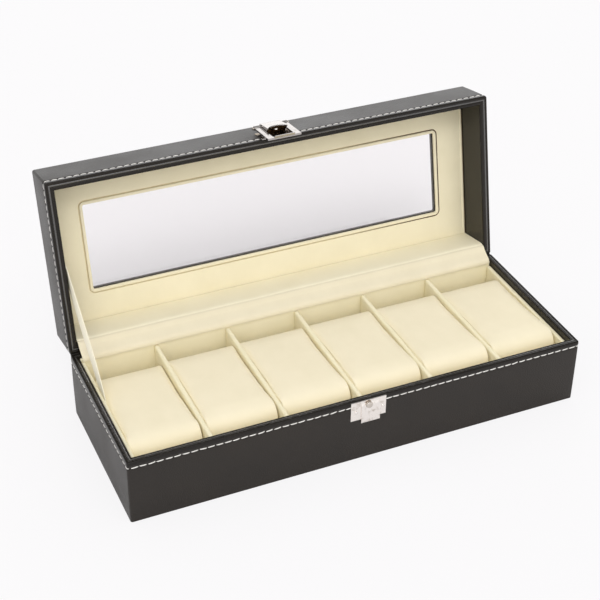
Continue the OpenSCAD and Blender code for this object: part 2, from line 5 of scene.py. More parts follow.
import bmesh
import bpy
import numpy as np
from mathutils import Matrix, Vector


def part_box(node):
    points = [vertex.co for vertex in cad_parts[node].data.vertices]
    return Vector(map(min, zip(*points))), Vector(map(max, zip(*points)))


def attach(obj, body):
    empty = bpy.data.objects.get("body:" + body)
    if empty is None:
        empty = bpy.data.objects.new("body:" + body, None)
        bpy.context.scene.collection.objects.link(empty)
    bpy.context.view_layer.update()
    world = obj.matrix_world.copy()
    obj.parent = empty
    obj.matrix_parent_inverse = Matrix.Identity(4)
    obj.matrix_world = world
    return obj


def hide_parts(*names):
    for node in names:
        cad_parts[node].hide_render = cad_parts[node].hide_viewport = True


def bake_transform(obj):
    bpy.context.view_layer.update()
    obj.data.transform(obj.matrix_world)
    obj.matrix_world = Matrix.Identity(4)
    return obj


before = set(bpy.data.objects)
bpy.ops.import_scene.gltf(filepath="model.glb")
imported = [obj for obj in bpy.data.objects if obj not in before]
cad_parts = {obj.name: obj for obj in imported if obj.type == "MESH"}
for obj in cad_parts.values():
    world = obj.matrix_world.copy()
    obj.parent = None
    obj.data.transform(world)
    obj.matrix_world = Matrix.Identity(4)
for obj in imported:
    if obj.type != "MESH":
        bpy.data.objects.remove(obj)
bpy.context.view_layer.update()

mm = 0.001
rng = np.random.default_rng(26)

# ----------------------------------------
# The camera stands to the left of the box and looks down on it, through a long
# lens. The floor is one pale sheet. A wide soft lamp with a small bright heart hangs
# over the front, and a weak one stands low behind.

camera_place = np.array([-317.64, -667.54, 587.62]) * mm
camera_turn = math.radians(-24.10)
camera_rise = math.radians(34.40)
camera_roll = math.radians(0.64)
camera_lens = 87.63

camera_data = bpy.data.cameras.new("camera")
camera_data.lens = camera_lens
camera_data.sensor_width = 36
camera_data.clip_start = 0.05
camera_data.clip_end = 50
camera = bpy.data.objects.new("camera", camera_data)
camera.matrix_world = (
    Matrix.Translation(camera_place) @ Matrix.Rotation(camera_turn, 4, "Z")
    @ Matrix.Rotation(math.pi / 2 - camera_rise, 4, "X") @ Matrix.Rotation(camera_roll, 4, "Z"))
bpy.context.scene.collection.objects.link(camera)
bpy.context.scene.camera = camera
bpy.context.scene.view_settings.view_transform = "Standard"

front_turn = math.radians(-14)
back_turn = math.radians(-20)
for name, strength, width, lean, turn in (
        ("softbox", 0.95, 60, 42, front_turn),
        ("key light", 0.36, 15, 40, front_turn),
        ("back light", 0.30, 40, -77, back_turn)):
    lamp_data = bpy.data.lights.new(name, "SUN")
    lamp_data.energy = strength
    lamp_data.angle = math.radians(width)
    lamp = bpy.data.objects.new(name, lamp_data)
    lamp.rotation_euler = (math.radians(lean), 0, turn)
    bpy.context.scene.collection.objects.link(lamp)


def finish_of(name, **plain):
    """A finish with one Principled shader, whose plain sockets are given by name."""
    finish = bpy.data.materials.new(name)
    finish.use_nodes = True
    shader = finish.node_tree.nodes["Principled BSDF"]
    for socket, value in plain.items():
        shader.inputs[socket.replace("_", " ")].default_value = value
    return finish, shader


def node_of(finish, kind, inputs=(), **settings):
    """A node of that kind in a finish or in the room, with its settings; inputs pairs a
    socket with a link or a value."""
    node = finish.node_tree.nodes.new(kind)
    for name, value in settings.items():
        setattr(node, name, value)
    for socket, value in inputs:
        if isinstance(value, bpy.types.NodeSocket):
            finish.node_tree.links.new(value, node.inputs[socket])
        else:
            node.inputs[socket].default_value = value
    return node


def span_of(finish, value, low, high, low_out, high_out):
    """The value carried from one range to another, and held at its ends."""
    return node_of(
        finish, "ShaderNodeMapRange",
        [("Value", value), ("From Min", low), ("From Max", high),
         ("To Min", low_out), ("To Max", high_out)]).outputs[0]


def joined_of(finish, first, second, operation="ADD"):
    """Two values added, or joined by another operation."""
    return node_of(
        finish, "ShaderNodeMath", [(0, first), (1, second)], operation=operation).outputs[0]


def tint_of(finish, value, dark, light):
    """A colour between two, by the value."""
    return node_of(
        finish, "ShaderNodeMix", [(0, value), (6, (*dark, 1)), (7, (*light, 1))],
        data_type="RGBA").outputs[2]


def layered_of(finish, share, under, over):
    """One shader laid over another, by the share."""
    return node_of(
        finish, "ShaderNodeMixShader", [(0, share), (1, under), (2, over)]).outputs[0]


def mesh_of(name, points, faces):
    """A mesh from arrays of points and faces."""
    mesh = bpy.data.meshes.new(name)
    mesh.from_pydata(points.reshape(-1, 3).tolist(), [], faces)
    mesh.update()
    return mesh


def placed(name, mesh, crease=40):
    """The mesh as an object of its own, with soft shading up to the crease angle."""
    mesh.shade_smooth()
    mesh.set_sharp_from_angle(angle=math.radians(crease))
    piece = bpy.data.objects.new(name, mesh)
    bpy.context.scene.collection.objects.link(piece)
    return piece


room = bpy.data.worlds.new("room")
bpy.context.scene.world = room
room.use_nodes = True
room.node_tree.nodes.clear()
room_way = node_of(room, "ShaderNodeTexCoord").outputs["Generated"]
room_height = node_of(room, "ShaderNodeSeparateXYZ", [("Vector", room_way)]).outputs["Z"]
room_share = span_of(room, room_height, 0.30, 0.52, 0.0, 1.0)
room_mirror = tint_of(room, room_share, (1, 1, 1), (0.45, 0.45, 0.45))
room_lit, room_mirrored, room_seen = (
    node_of(room, "ShaderNodeBackground", [("Color", colour), ("Strength", strength)]).outputs[0]
    for colour, strength in (
        ((1.0, 0.99, 0.985, 1), 0.72), (room_mirror, 1.0), ((1, 1, 1, 1), 1.0)))
room_rays = node_of(room, "ShaderNodeLightPath").outputs
for ray, light in (
        ("Is Glossy Ray", room_mirrored), ("Is Transmission Ray", room_seen),
        ("Is Camera Ray", room_seen)):
    room_lit = layered_of(room, room_rays[ray], room_lit, light)
node_of(room, "ShaderNodeOutputWorld", [("Surface", room_lit)])

floor_reach = 6
floor_glow = 0.84
floor_finish, floor_shader = finish_of(
    "pale floor", Base_Color=(0.92, 0.915, 0.925, 1), Roughness=0.9, Specular_IOR_Level=0.1)
floor_white = node_of(
    floor_finish, "ShaderNodeEmission", [("Color", (0.975, 0.967, 0.975, 1))]).outputs[0]
floor_rays = node_of(floor_finish, "ShaderNodeLightPath").outputs
floor_share = joined_of(floor_finish, floor_rays["Is Camera Ray"], floor_glow, "MULTIPLY")
floor_lit = layered_of(floor_finish, floor_share, floor_shader.outputs[0], floor_white)
floor_finish.node_tree.links.new(
    floor_lit, floor_finish.node_tree.nodes["Material Output"].inputs["Surface"])
floor_corners = np.array([(-1, -1, 0), (1, -1, 0), (1, 1, 0), (-1, 1, 0)])
floor = placed("floor", mesh_of("floor", floor_corners * floor_reach, [(0, 1, 2, 3)]))
floor.data.materials.append(floor_finish)

# ----------------------------------------
# The boards are sawn fibreboard, glued edge to edge, and a felt pad is glued
# under the base. They are solid pieces of the model and only need their finish.


def place_of(finish, stretch=(1, 1, 1)):
    """Each point's place on the piece, in metres, stretched along the axes."""
    place = node_of(finish, "ShaderNodeTexCoord")
    return node_of(
        finish, "ShaderNodeMapping",
        [("Vector", place.outputs["Object"]), ("Scale", stretch)]).outputs[0]


def cloud_of(finish, place, per_metre, detail=3.0, rough=0.55):
    """Soft noise, from 0 to 1, with that many lumps to the metre."""
    return node_of(
        finish, "ShaderNodeTexNoise",
        [("Vector", place), ("Scale", per_metre), ("Detail", detail), ("Roughness", rough)],
    ).outputs["Fac"]


def relief_of(finish, height, deep, under=None):
    """A surface raised by the height, which is deep metres at 1, over an earlier relief."""
    bump = node_of(finish, "ShaderNodeBump", [("Height", height), ("Distance", deep)])
    if under is not None:
        finish.node_tree.links.new(under, bump.inputs["Normal"])
    return bump.outputs[0]


def dress(finish, shader, **linked):
    """Links values, colours and reliefs to the shader's sockets by name."""
    for socket, value in linked.items():
        finish.node_tree.links.new(value, shader.inputs[socket.replace("_", " ")])
    return finish


def board_finish():
    """Fibreboard: a brown ground of short pressed fibres."""
    finish, shader = finish_of("fibreboard", Roughness=0.85)
    place = place_of(finish, (1, 1, 2.5))
    fibres = cloud_of(finish, place, 900, 5.0, 0.7)
    return dress(
        finish, shader,
        Base_Color=tint_of(finish, fibres, (0.30, 0.20, 0.115), (0.52, 0.37, 0.22)),
        Normal=relief_of(finish, fibres, 0.12 * mm))


def felt_finish():
    """Felt: a black mat of crossing hairs."""
    finish, shader = finish_of("black felt", Roughness=0.95, Sheen_Weight=0.3)
    hairs = cloud_of(finish, place_of(finish), 2600, 5.0, 0.75)
    return dress(
        finish, shader,
        Base_Color=tint_of(finish, hairs, (0.008, 0.008, 0.008), (0.035, 0.034, 0.033)),
        Normal=relief_of(finish, hairs, 0.15 * mm))


def paint_nodes(finish, names):
    """Gives CAD nodes their finish."""
    for name in names:
        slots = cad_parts[name].data.materials
        slots.clear()
        slots.append(finish)


fibreboard = board_finish()
paint_nodes(fibreboard, [
    "base_bottom_board", "base_front_board", "base_back_board",
    "base_left_board", "base_right_board"])
paint_nodes(felt_finish(), ["base_felt"])

# ----------------------------------------
# The base's cover is black grained leather cloth, wrapped round the four walls,
# turned over the rim and glued inside. A seam is sewn just below the rim, and
# its thread pulls the cover in a little.

box_l = 300 * mm
box_w = 112 * mm
base_h = 45.3 * mm
base_foot = 0.3 * mm
base_turned = 13 * mm
wall_t = 4.4 * mm
corner_r = 1.4 * mm
stitch_drop = 4.0 * mm
face_swell = 0.12 * mm
seam_pull = 0.42 * mm
rim_roll = 0.16 * mm
roll_drop = 2.1 * mm
rim_crown = 0.08 * mm
rim_r = 1.55 * mm
rim_drop = 1.6 * mm
inner_drop = 2 * mm
ridge_depth = 2.4 * mm
ridge_half = 0.65 * mm
groove_deep = 0.24 * mm
groove_soft = 0.42 * mm
turned_t = 0.75 * mm
outer_t = 0.98 * mm
rim_t = 0.8 * mm
wall_wave = 0.07 * mm

quarter_steps = 6
long_steps = 90
short_steps = 34
side_x = np.array([1, 1, -1, -1])
side_y = np.array([-1, 1, 1, -1])


def stations_round():
    """Stations round a rectangle with round corners, from the front right corner on: each
    station's corner, the next corner, its share of the way between them, and the angle
    that it faces."""
    table = []
    for corner in range(4):
        start = (corner - 1) * math.pi / 2
        arc = start + np.linspace(0, math.pi / 2, quarter_steps + 1)
        run = np.linspace(0, 1, (short_steps if corner % 2 == 0 else long_steps) + 2)[1:-1]
        share = np.concatenate([np.zeros(len(arc)), run])
        facing = np.concatenate([arc, np.full(len(run), arc[-1])])
        table.append(np.stack([
            np.full(len(share), corner), np.full(len(share), (corner + 1) % 4),
            share, facing]))
    table = np.concatenate(table, axis=1)
    return table[0].astype(int), table[1].astype(int), table[2], table[3]


stations = stations_round()


def outline(length, width, radius, depth):
    """The rectangle's outline at each depth inside its face: four quarter turns, whose
    radius shrinks with the depth down to a fifth of a millimetre, joined by straight runs."""
    here, there, share, facing = stations
    depth = np.atleast_1d(depth)[:, None]
    turn = np.maximum(radius - depth, 0.2 * mm)
    reach_x = side_x[here] * (1 - share) + side_x[there] * share
    reach_y = side_y[here] * (1 - share) + side_y[there] * share
    x = (length / 2 - depth - turn) * reach_x + turn * np.cos(facing)
    y = (width / 2 - depth - turn) * reach_y + turn * np.sin(facing)
    return x, y


def carried(length, width, radius, depth, height):
    """A profile of depths and heights carried round the outline, as a grid of points."""
    x, y = outline(length, width, radius, depth)
    z = np.broadcast_to(np.atleast_1d(height)[:, None], x.shape)
    return np.stack([x, y, z], axis=-1)


def walk_along(line):
    """How far each point of a line lies from its start, along it."""
    return np.concatenate([[0], np.cumsum(np.linalg.norm(np.diff(line, axis=0), axis=1))])


def evenly(line, count):
    """That many points along a flat line, all as far from each other."""
    walked = walk_along(line)
    even = np.linspace(0, walked[-1], count)
    return np.stack([np.interp(even, walked, values) for values in line.T], axis=1)


def bend(points, steps, radius):
    """A line of (depth, height) corners with each corner rounded: every corner is replaced by
    a quadratic curve that starts and ends the radius away from it."""
    points = np.asarray(points, float)
    line = [points[:1]]
    for before, corner, after in zip(points[:-2], points[1:-1], points[2:]):
        back, ahead = before - corner, after - corner
        reach = min(radius, np.linalg.norm(back) / 2.01, np.linalg.norm(ahead) / 2.01)
        a = corner + back / np.linalg.norm(back) * reach
        b = corner + ahead / np.linalg.norm(ahead) * reach
        t = np.linspace(0, 1, steps)[:, None]
        line.append((1 - t) ** 2 * a + 2 * t * (1 - t) * corner + t ** 2 * b)
    line.append(points[-1:])
    return np.concatenate(line)


def quads(rows, columns, around=False, across=False):
    """The faces of a grid of points: each point is joined to its neighbours, and the last
    row or column to the first where the surface closes."""
    i = np.arange(rows if around else rows - 1)[:, None]
    j = np.arange(columns if across else columns - 1)[None, :]
    ahead, beside = (i + 1) % rows, (j + 1) % columns
    return np.stack([
        i * columns + j, ahead * columns + j, ahead * columns + beside, i * columns + beside,
    ], axis=-1).reshape(-1, 4)


def skin(name, grid, around=False, across=False, inside_out=False, crease=40):
    """A piece whose surface is a grid of points."""
    faces = quads(*grid.shape[:2], around, across)
    if inside_out:
        faces = faces[:, ::-1]
    return placed(name, mesh_of(name, grid, faces.tolist()), crease)


def cover_profile(height, foot, turned, drop, wall):
    """The cover's section, as (depth, height): up the face, which swells by a sine, in at the
    seam and out above it by bell curves, over the crowned rim, where two shallow grooves
    leave a low ridge, down to the turned edge, and back behind along the board."""
    face = np.linspace(foot, height - rim_drop, 46)
    up = (face - foot) / (height - foot)
    swell = -face_swell * np.sin(math.pi * up) ** 0.6
    pull = seam_pull * np.exp(-((face - (height - drop)) / (0.75 * mm)) ** 2)
    roll = -rim_roll * np.exp(-((face - (height - roll_drop)) / (0.7 * mm)) ** 2)
    outer = np.stack([swell + pull + roll, face], axis=1)
    inner_top = height - inner_drop
    rim = evenly(bend(
        [outer[-1], (0, height), (wall, height + 0.05 * mm), (wall, inner_top)],
        9, rim_r), 64)[1:-1]
    rim[:, 1] += rim_crown * np.sin(math.pi * np.clip(rim[:, 0] / wall, 0, 1))
    for groove in (ridge_depth - ridge_half, ridge_depth + ridge_half):
        rim[:, 1] -= groove_deep * np.exp(-((rim[:, 0] - groove) / groove_soft) ** 2)
    inner = np.stack([np.full(8, wall), np.linspace(inner_top, height - turned, 8)], axis=1)
    behind = np.array([
        (wall - turned_t, height - turned), (wall - turned_t, height - rim_t),
        (outer_t, height - rim_t), (outer_t, foot)])
    return np.concatenate([outer, rim, inner, behind])


def level_seam(x, y):
    """How far the lid's seam strays from its level: nowhere."""
    return 0 * x


def climbing_seam(x, y):
    """How far the base's seam strays from its level: it climbs a little to the right, and
    lies lower on the sides and the back."""
    climb, fall = 0.0037, 0.9 * mm
    return 0.1 * mm + climb * x - fall * np.clip((y + box_w / 2) / (40 * mm), 0, 1)


def cover(name, height, foot, turned, drop, wall, stray):
    """The profile carried round the four walls, as a closed tube. Near the seam it strays up
    and down with it, by a bell curve of the height. Long slow waves, the sum of three sines
    along the wall, leave the face not quite flat. The rim and the turned edge get a darker,
    less shiny copy of the leather, which is painted shade, and the ridge on the rim a lighter,
    shinier copy, which is a painted highlight."""
    depth, level = cover_profile(height, foot, turned, drop, wall).T
    grid = carried(box_l, box_w, corner_r, depth, level)
    near = np.exp(-((level - height + drop) / (2 * mm)) ** 2) * (depth < 0.9 * mm)
    grid[..., 2] += near[:, None] * stray(grid[..., 0], grid[..., 1])
    share = np.clip((depth + 0.3 * mm) / (1.0 * mm), 0, 1)[:, None]
    middle = np.sin(math.pi * np.clip((level - foot) / (height - foot), 0, 1))[:, None]
    x, y = grid[..., 0], grid[..., 1]
    wave = (np.sin(43 * x + 1.1) + 0.7 * np.sin(97 * x + 71 * y) + 0.5 * np.sin(151 * y + 2))
    facing = stations[3]
    sway = wall_wave * wave * middle * (1 - share)
    grid[..., 0] += sway * np.cos(facing)
    grid[..., 1] += sway * np.sin(facing)
    piece = skin(name, grid, around=True, across=True, inside_out=True)
    # Faces of the rim band and the turned edge get the rim's painted shade, and faces on the ridge
    # get its painted highlight.
    pulled = (level > height - drop + 0.7 * mm) | (depth > wall - 0.1 * mm)
    ridge = (np.abs(depth - ridge_depth) < 0.5 * mm) & (level > height - 0.4 * mm)
    rim_shade_and_ridge_highlight = (pulled & np.roll(pulled, -1)).astype(np.int32) + (ridge & np.roll(ridge, -1))
    for finish in (leather, rim_shade_leather, ridge_highlight_leather):
        piece.data.materials.append(finish)
    piece.data.polygons.foreach_set(
        "material_index", np.repeat(rim_shade_and_ridge_highlight, grid.shape[1]).astype(np.int32))
    return piece


def leather_finish(name, gloss, dull, shine, dark, light):
    """Black leather cloth: small pebbles with fine creases between them, a dull coat whose
    shine varies in broad patches, and a few long scuffs."""
    finish, shader = finish_of(name, IOR=1.5, Specular_IOR_Level=gloss)
    place = place_of(finish)
    pebble = node_of(
        finish, "ShaderNodeTexVoronoi",
        [("Vector", place), ("Scale", 1150.0)], feature="F1")
    crease = span_of(finish, pebble.outputs["Distance"], 0.25, 0.75, 1.0, 0.0)
    fine = cloud_of(finish, place, 4200, 3.0, 0.6)
    broad = cloud_of(finish, place, 38, 4.0, 0.55)
    scuff = cloud_of(finish, place_of(finish, (0.25, 1, 3)), 420, 5.0, 0.7)
    tone = span_of(finish, broad, 0.3, 0.7, 0.0, 1.0)
    roughness = joined_of(
        finish, span_of(finish, broad, 0.3, 0.7, shine, dull),
        span_of(finish, scuff, 0.62, 0.75, 0.0, 0.08))
    ground = relief_of(finish, fine, 0.012 * mm)
    return dress(
        finish, shader,
        Base_Color=tint_of(finish, tone, dark, light),
        Roughness=roughness,
        Normal=relief_of(finish, crease, 0.055 * mm, ground))


leather = leather_finish(
    "black leather cloth", 0.4, 0.43, 0.35, (0.0115, 0.0080, 0.0052), (0.0170, 0.0122, 0.0082))
# The rim and the turned edge get a smoother copy of the leather; its darker colour and weaker
# shine are painted shade, standing in for the dark reflection on the rim.
rim_shade_leather = leather_finish(
    "rim leather darkened with painted shade", 0.28, 0.21, 0.13, (0.0085, 0.0065, 0.0045),
    (0.0120, 0.0090, 0.0062))
# Painted highlight: the ridge on the rim gets a lighter copy of the leather with full shine and a
# clear coat, so that a bright line runs along it.
ridge_highlight_leather = leather_finish(
    "leather with a painted highlight on the ridge", 1.0, 0.26, 0.18, (0.016, 0.014, 0.012),
    (0.022, 0.019, 0.016))
ridge_highlight_leather.node_tree.nodes["Principled BSDF"].inputs["Coat Weight"].default_value = 1.0
base_cover = cover(
    "base_cover", base_h, base_foot, base_turned, stitch_drop, wall_t, climbing_seam)
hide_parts("base_leather")
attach(base_cover, "base")

# ----------------------------------------
# The seam is sewn with white waxed thread. Each stitch lies in the groove that
# it has pulled, and both its ends dive through the leather. The stitches that
# would lie under the metal plates are left out.

base_pitch = 5.2 * mm
lid_pitch = 4.5 * mm
stitch_gap = 0.6 * mm
stitch_spread = 0.12 * mm
thread_r = 0.36 * mm
thread_depth = 0.25 * mm
thread_in = 0.15 * mm
thread_rise = 0.34 * mm
thread_slant = 0.10 * mm
latch_x = 1.5 * mm
plate_w = 23.4 * mm
strip_t = 0.6 * mm


def thread_finish():
    """Waxed white thread: twisted strands, slightly soiled."""
    finish, shader = finish_of("white thread", Roughness=0.55, Sheen_Weight=0.15)
    place = place_of(finish)
    strand = cloud_of(finish, place, 3800, 2.0)
    return dress(
        finish, shader,
        Base_Color=tint_of(finish, strand, (0.76, 0.74, 0.70), (0.93, 0.91, 0.87)),
        Normal=relief_of(finish, strand, 0.06 * mm))


def seam(name, height, stray, pitch, turned_over=False):
    """Stitches along the outline at that height. A stitch is a thin tube along the wall:
    its middle line rises out of the groove by one less the fourth power of the way from its
    middle, and its radius falls away towards both ends. Over the hinge strip it lies the
    strip's thickness further out."""
    x, y = outline(box_l, box_w, corner_r, thread_depth)
    line = np.stack([x[0], y[0], np.cos(stations[3]), np.sin(stations[3])], axis=1)
    line = np.concatenate([line, line[:1]])
    walked = walk_along(line[:, :2])
    count = round(walked[-1] / pitch)
    start = (np.arange(count) + 0.3) / count * walked[-1]
    start = start + rng.normal(0, stitch_spread, count)
    middle_x, middle_y = (np.interp(start, walked, values) for values in line.T[:2])
    under_plate = (np.abs(middle_x - latch_x) < plate_w / 2) & (middle_y < 0)
    start = start[~under_plate]
    along = np.linspace(-1, 1, 9)[None, :, None]
    round_it = np.linspace(0, 2 * math.pi, 7)[:-1][None, None, :]
    spot = (start[:, None, None] + along * (pitch - stitch_gap) / 2) % walked[-1]
    at_x, at_y, out_x, out_y = (np.interp(spot, walked, values) for values in line.T)
    lift = thread_rise * (1 - along ** 4) - thread_in
    over_strip = (at_y > box_w / 2 - 1 * mm) & (np.abs(at_x) < box_l / 2 - 3 * mm)
    lift = lift + strip_t * over_strip
    beside = np.abs(at_x) > box_l / 2 - 2 * mm
    size = thread_r * (1 - 0.55 * np.abs(along) ** 5) * (1 - 0.22 * beside)
    slant = rng.normal(0, thread_slant, len(start))[:, None, None] + thread_slant
    out = lift + size * np.cos(round_it)
    z = height + stray(at_x, at_y) + along * slant + size * np.sin(round_it)
    grid = np.stack([
        at_x + out_x * out, at_y + out_y * out, np.broadcast_to(z, out.shape)], axis=-1)
    if turned_over:
        grid = opened(grid)
    stitches, rings, ring = grid.shape[:3]
    first = np.arange(stitches)[:, None] * rings * ring
    outwards = [0, 3, 2, 1]
    sides = (first[:, None] + quads(rings, ring, across=True)[:, outwards]).reshape(-1, 4)
    ends = np.concatenate([
        first + np.arange(ring)[::-1], first + (rings - 1) * ring + np.arange(ring)])
    piece = placed(name, mesh_of(name, grid, sides.tolist() + ends.tolist()), 80)
    piece.data.materials.append(thread)
    return piece


thread = thread_finish()
base_seam = seam("base_seam", base_h - stitch_drop, climbing_seam, base_pitch)
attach(base_seam, "base")

# ----------------------------------------
# The liners are cards padded with a thin foam and covered in cream velour. They
# stand against the inner walls and stop below the rim. The floor card is the
# same velour on a bare card.

liner_r = 1.0 * mm
liner_swell = 0.15 * mm
right_drop = 1.8 * mm


def pile_finish(name, dark, light, sheen, relief=0.05 * mm):
    """Velour: short upright pile, brushed here and there, with a soft bloom at its edges."""
    finish, shader = finish_of(
        name, Roughness=0.92, Sheen_Weight=sheen, Sheen_Roughness=0.45,
        Specular_IOR_Level=0.18, Sheen_Tint=(*light, 1))
    place = place_of(finish)
    pile = cloud_of(finish, place, 3600, 3.0, 0.65)
    brushed = cloud_of(finish, place_of(finish, (1, 0.7, 1)), 55, 4.0, 0.6)
    tone = joined_of(
        finish, span_of(finish, pile, 0.3, 0.7, 0.0, 0.35),
        span_of(finish, brushed, 0.3, 0.7, 0.0, 0.65))
    return dress(
        finish, shader,
        Base_Color=tint_of(finish, tone, dark, light),
        Normal=relief_of(finish, pile, relief))


def unit(ways):
    """Arrows brought to the length of one metre."""
    return ways / np.linalg.norm(ways, axis=-1, keepdims=True)


def sew_up(mesh, ends=()):
    """Closes a mesh: end faces are added by their points' numbers, points that lie
    together are merged, and every face is turned outwards."""
    built = bmesh.new()
    built.from_mesh(mesh)
    built.verts.ensure_lookup_table()
    for end in ends:
        built.faces.new([built.verts[number] for number in end])
    bmesh.ops.remove_doubles(built, verts=built.verts, dist=0.002 * mm)
    bmesh.ops.recalc_face_normals(built, faces=built.faces)
    built.to_mesh(mesh)
    built.free()


def block_for(node, radius, flat_steps, swell=(0, 0, 0), lower=0.0):
    """A block with round edges in a CAD node's place, with its top that much lower: every
    point of a cube's skin is carried to the block, split into the nearest point of the block
    less its radius and the way out from there, and set one radius out along it. The faces
    swell by the product of two cosines."""
    low, high = (np.array(corner, float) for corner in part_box(node))
    high[2] -= lower
    half, centre = (high - low) / 2, (high + low) / 2
    core = half - radius
    bend_to = np.tan(np.linspace(0, math.pi / 4, 4)) * radius
    axis_steps = [
        np.concatenate([-(core[a] + bend_to)[::-1],
                        np.linspace(-core[a], core[a], flat_steps[a] + 1)[1:-1],
                        core[a] + bend_to]) for a in range(3)]
    points, faces, used = [], [], 0
    for axis, (u, v) in enumerate(((1, 2), (0, 2), (0, 1))):
        for side in (-1, 1):
            grid_u, grid_v = np.meshgrid(axis_steps[u], axis_steps[v], indexing="ij")
            face = np.empty((*grid_u.shape, 3))
            face[..., axis] = side * half[axis]
            face[..., u] = grid_u
            face[..., v] = grid_v
            quad = quads(*grid_u.shape)
            if (side > 0) == (axis == 1):
                quad = quad[:, ::-1]
            points.append(face.reshape(-1, 3))
            faces.append(quad + used)
            used += grid_u.size
    points = np.concatenate(points)
    nearest = np.clip(points, -core, core)
    points = nearest + radius * unit(points - nearest)
    bow = np.cos(np.clip(points / half, -1, 1) * math.pi / 2)
    for axis, (u, v) in enumerate(((1, 2), (0, 2), (0, 1))):
        points[:, axis] += np.sign(points[:, axis]) * swell[axis] * bow[:, u] * bow[:, v]
    mesh = mesh_of(node + "_velour", points + centre, np.concatenate(faces).tolist())
    sew_up(mesh)
    piece = placed(mesh.name, mesh, 60)
    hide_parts(node)
    return piece


velour = pile_finish("cream velour", (0.89, 0.82, 0.585), (0.95, 0.88, 0.65), 0.12)
for node, flat_steps, swell, lower in (
        ("front_liner", (60, 2, 8), (0, liner_swell, 0), 0),
        ("back_liner", (60, 2, 8), (0, liner_swell, 0), 0),
        ("left_liner", (2, 24, 8), (liner_swell, 0, 0), 0),
        ("right_liner", (2, 24, 8), (liner_swell, 0, 0), right_drop)):
    liner = block_for(node, liner_r, flat_steps, swell, lower)
    liner.data.materials.append(velour)
    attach(liner, "base")
paint_nodes(velour, ["floor_card"])

# ----------------------------------------
# Five dividers part the compartments. Each is a card folded into velour, so its
# upper edge is a soft round fold.

fold_r = 1.25 * mm
for number in range(1, 6):
    divider = block_for(f"divider_{number}", fold_r, (2, 30, 10))
    divider.data.materials.append(velour)
    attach(divider, "base")

# ----------------------------------------
# Six pillows lie in the compartments. A pillow is a foam block in a velour case,
# sewn from one long band and two flat ends, which the stuffing crowns a little.

pillow_half = 44.4 / 2 * mm
pillow_front = -42.0 * mm
pillow_back = 40.0 * mm
pillow_low = 5.5 * mm
# The height of each pillow at its front and at its back, in millimetres.
pillow_tops = ((42.6, 38.6), (43.6, 40.2), (43.9, 40.4), (44.4, 40.8), (44.0, 40.6), (43.8, 40.4))
nose_r = 9 * mm
edge_r = 9 * mm
end_sunk = 0.5 * mm
fill_room = 0.5 * mm
unfilled = 0.975
case_slack = 0.2 * mm
left_stretch = 0.35 * mm
pillow_pitch = 48.15 * mm
pillow_x = -120.575 * mm + np.arange(6) * pillow_pitch


def pillow_band(top, back_top, steps=84):
    """The band's section as (y, z), evenly spaced: four round corners joined by straight
    lines."""
    corners = (
        (pillow_back - edge_r, pillow_low + edge_r, edge_r, -90),
        (pillow_back - edge_r, back_top - edge_r, edge_r, 0),
        (pillow_front + nose_r, top - nose_r, nose_r, 90),
        (pillow_front + edge_r, pillow_low + edge_r, edge_r, 180))
    line = []
    for y, z, radius, start in corners:
        turn = np.radians(start + np.linspace(0, 90, 13))
        line.append(np.stack([y + radius * np.cos(turn), z + radius * np.sin(turn)], axis=1))
    return evenly(np.concatenate(line + [line[0][:1]]), steps + 1)[:-1]


def pillow_case(name, x, top, back_top):
    """The case before it is filled: the band's section at each station across the pillow, and
    shrunk step by step to the middle over both ends, which are sunk in a little."""
    section = pillow_band(top, back_top)
    centre = (section.max(0) + section.min(0)) / 2
    end_share = np.array([0, 0.12, 0.26, 0.42, 0.58, 0.72, 0.84, 0.93, 0.985])
    across = np.array([-1, -0.985, -0.95, -0.88, -0.76, -0.6, -0.4, -0.2])
    across = np.concatenate([across, [0], -across[::-1]])
    share = np.concatenate([end_share, np.ones(len(across)), end_share[::-1]])
    end = np.ones(len(end_share))
    place = np.concatenate([-end, across, end])
    half = pillow_half - fill_room
    sunk = end_sunk * (1 - share ** 2) * np.sign(place)
    grid = np.empty((len(share), len(section), 3))
    grid[..., 0] = (x + place * half - sunk)[:, None]
    grid[..., 1:] = centre + share[:, None, None] * (section - centre) * unfilled
    piece = skin(name, grid, across=True, inside_out=True)
    sew_up(piece.data)
    return piece


def points_of(mesh):
    """The mesh's vertices as an array."""
    flat = np.empty(len(mesh.vertices) * 3)
    mesh.vertices.foreach_get("co", flat)
    return flat.reshape(-1, 3)


def set_points(mesh, points):
    """Puts the mesh's vertices at those points."""
    mesh.vertices.foreach_set("co", points.ravel())
    mesh.update()


def fill_cases(cases, pressure, frames, cap):
    """Fills the cases: cloth under pressure with no gravity, run for that many frames. Then
    each point is held to the cap, and the cloth is taken off again."""
    for case in cases:
        cloth = case.modifiers.new("filling", "CLOTH")
        cloth.settings.quality = 6
        cloth.settings.mass = 0.25
        cloth.settings.tension_stiffness = 12
        cloth.settings.compression_stiffness = 12
        cloth.settings.shear_stiffness = 6
        cloth.settings.bending_stiffness = 1.5
        cloth.settings.use_pressure = True
        cloth.settings.uniform_pressure_force = pressure
        cloth.settings.effector_weights.gravity = 0
        cloth.collision_settings.use_collision = False
        cloth.point_cache.frame_end = frames
    for number in range(1, frames + 1):
        bpy.context.scene.frame_set(number)
    view = bpy.context.evaluated_depsgraph_get()
    for case in cases:
        before = points_of(case.data)
        moved = points_of(case.evaluated_get(view).data) - before
        moved -= moved.mean(axis=0)
        far = np.linalg.norm(moved, axis=1, keepdims=True)
        moved *= np.minimum(1, cap / np.maximum(far, 1e-9))
        case.modifiers.clear()
        set_points(case.data, before + moved)
    bpy.context.scene.frame_set(1)


